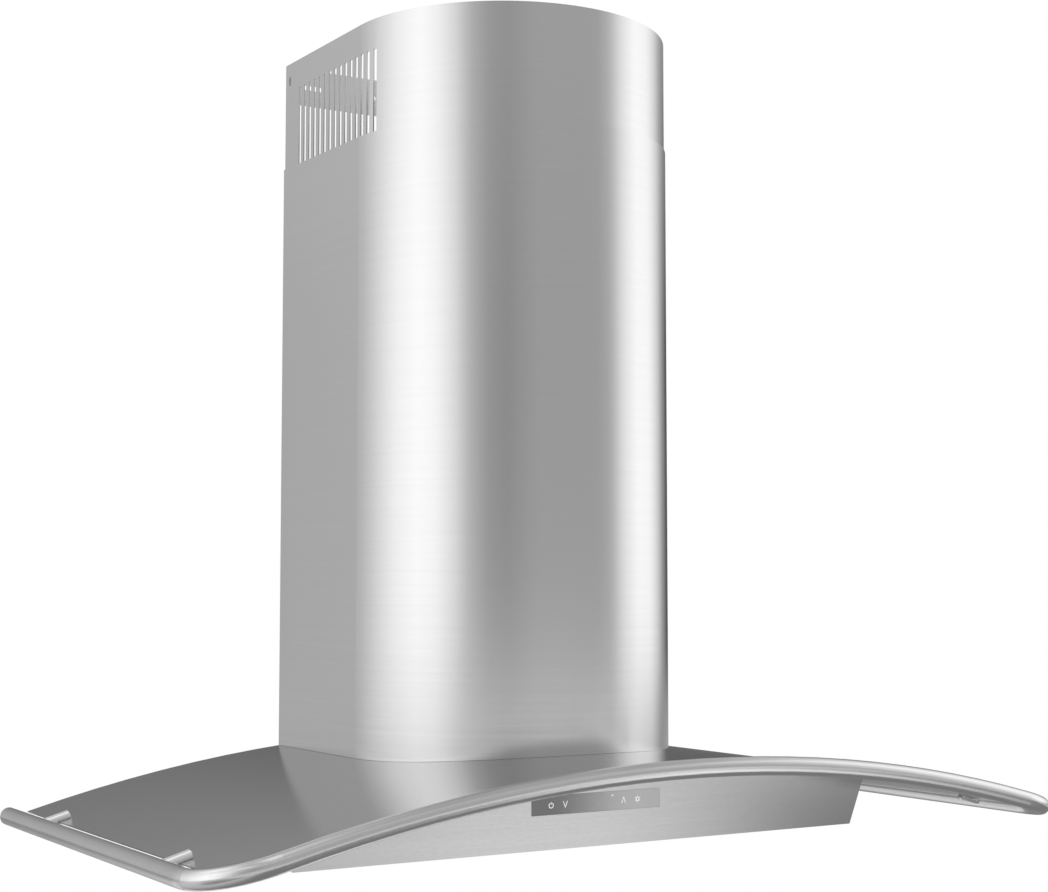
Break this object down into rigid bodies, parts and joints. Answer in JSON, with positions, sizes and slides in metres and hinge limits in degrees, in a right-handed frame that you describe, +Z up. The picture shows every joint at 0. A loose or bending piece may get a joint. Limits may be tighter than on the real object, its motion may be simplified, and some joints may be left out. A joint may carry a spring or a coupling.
{
  "type": "wall mount range hood",
  "caption": "Wall mount range hood: arched steel canopy with a tube rail, touch strip, baffle filters, blower and damper under a telescoping chimney with vent slots.",
  "frame": {"origin": "centre of the wall screw pattern, on the back face of the body, against the wall", "axes": "+X to the right seen from the front, +Y into the wall, +Z up"},
  "size_m": [0.9, 0.5062, 0.7933],
  "materials": {
    "brushed_steel": "fine brushed stainless sheet",
    "satin_tube": "satin polished stainless tube",
    "baffle_steel": "plain stainless strip",
    "zinc_steel": "dull zinc coated sheet",
    "bright_screw": "bright plated",
    "touch_film": "smooth grey touch surface",
    "black_plastic": "fine grained black moulding",
    "circuit_board": "green solder mask",
    "lamp_glass": "frosted",
    "heat_sink": "die cast",
    "motor_paint": "satin black",
    "capacitor_can": "plain can"
  },
  "bodies": {
    "hood": {"canopy_sheet": "brushed_steel", "front_panel": "brushed_steel", "back_panel": "zinc_steel", "side_panel_left": "brushed_steel", "side_panel_right": "brushed_steel", "bottom_frame": "brushed_steel", "lower_chimney": "brushed_steel", "chimney_foot_left": "zinc_steel", "chimney_foot_right": "zinc_steel", "rail_front": "satin_tube", "rail_side_left": "satin_tube", "rail_side_right": "satin_tube", "rail_end_cap_left": "satin_tube", "rail_end_cap_right": "satin_tube", "rail_standoffs": "satin_tube", "standoff_screws": "bright_screw", "touch_panel": "touch_film", "control_housing": "black_plastic", "control_board": "circuit_board", "lamp_bezel_left": "bright_screw", "lamp_bezel_right": "bright_screw", "lamp_lens_left": "lamp_glass", "lamp_lens_right": "lamp_glass", "lamp_module_left": "heat_sink", "lamp_module_right": "heat_sink", "lamp_driver": "black_plastic", "blower_box": "zinc_steel", "blower_scroll": "zinc_steel", "blower_side_left": "zinc_steel", "blower_side_right": "zinc_steel", "motor": "motor_paint", "motor_bracket": "zinc_steel", "outlet_collar": "zinc_steel", "damper_pin": "bright_screw", "junction_box": "zinc_steel", "junction_cover": "zinc_steel", "cover_screws": "bright_screw", "cable_gland": "black_plastic", "motor_capacitor": "capacitor_can"},
    "chimney_extension": {"upper_chimney": "brushed_steel", "chimney_bracket": "zinc_steel"},
    "filter_left": {"filter_frame_left": "brushed_steel", "filter_baffles_left": "baffle_steel", "filter_handle_left": "bright_screw"},
    "filter_right": {"filter_frame_right": "brushed_steel", "filter_baffles_right": "baffle_steel", "filter_handle_right": "bright_screw"},
    "fan": {"impeller": "zinc_steel", "motor_shaft": "bright_screw"},
    "damper_front": {"damper_flap_front": "zinc_steel"},
    "damper_rear": {"damper_flap_rear": "zinc_steel"}
  },
  "joints": [
    {"name": "chimney_slide", "type": "slide", "parent": "hood", "child": "chimney_extension", "axis": [0, 0, 1], "range_m": [-0.111, 0.34]},
    {"name": "filter_left_drop", "type": "hinge", "parent": "hood", "child": "filter_left", "pos_m": [-0.145, -0.03, -0.04], "axis": [1, 0, 0], "range_deg": [0, 75]},
    {"name": "filter_right_drop", "type": "hinge", "parent": "hood", "child": "filter_right", "pos_m": [0.145, -0.03, -0.04], "axis": [1, 0, 0], "range_deg": [0, 75]},
    {"name": "fan_spin", "type": "hinge", "parent": "hood", "child": "fan", "pos_m": [0, -0.17, 0.165], "axis": [1, 0, 0], "continuous": true},
    {"name": "damper_front_swing", "type": "hinge", "parent": "hood", "child": "damper_front", "pos_m": [0, -0.116, 0.306], "axis": [-1, 0, 0], "range_deg": [0, 75]},
    {"name": "damper_rear_swing", "type": "hinge", "parent": "hood", "child": "damper_rear", "pos_m": [0, -0.116, 0.306], "axis": [1, 0, 0], "range_deg": [0, 75]}
  ]
}
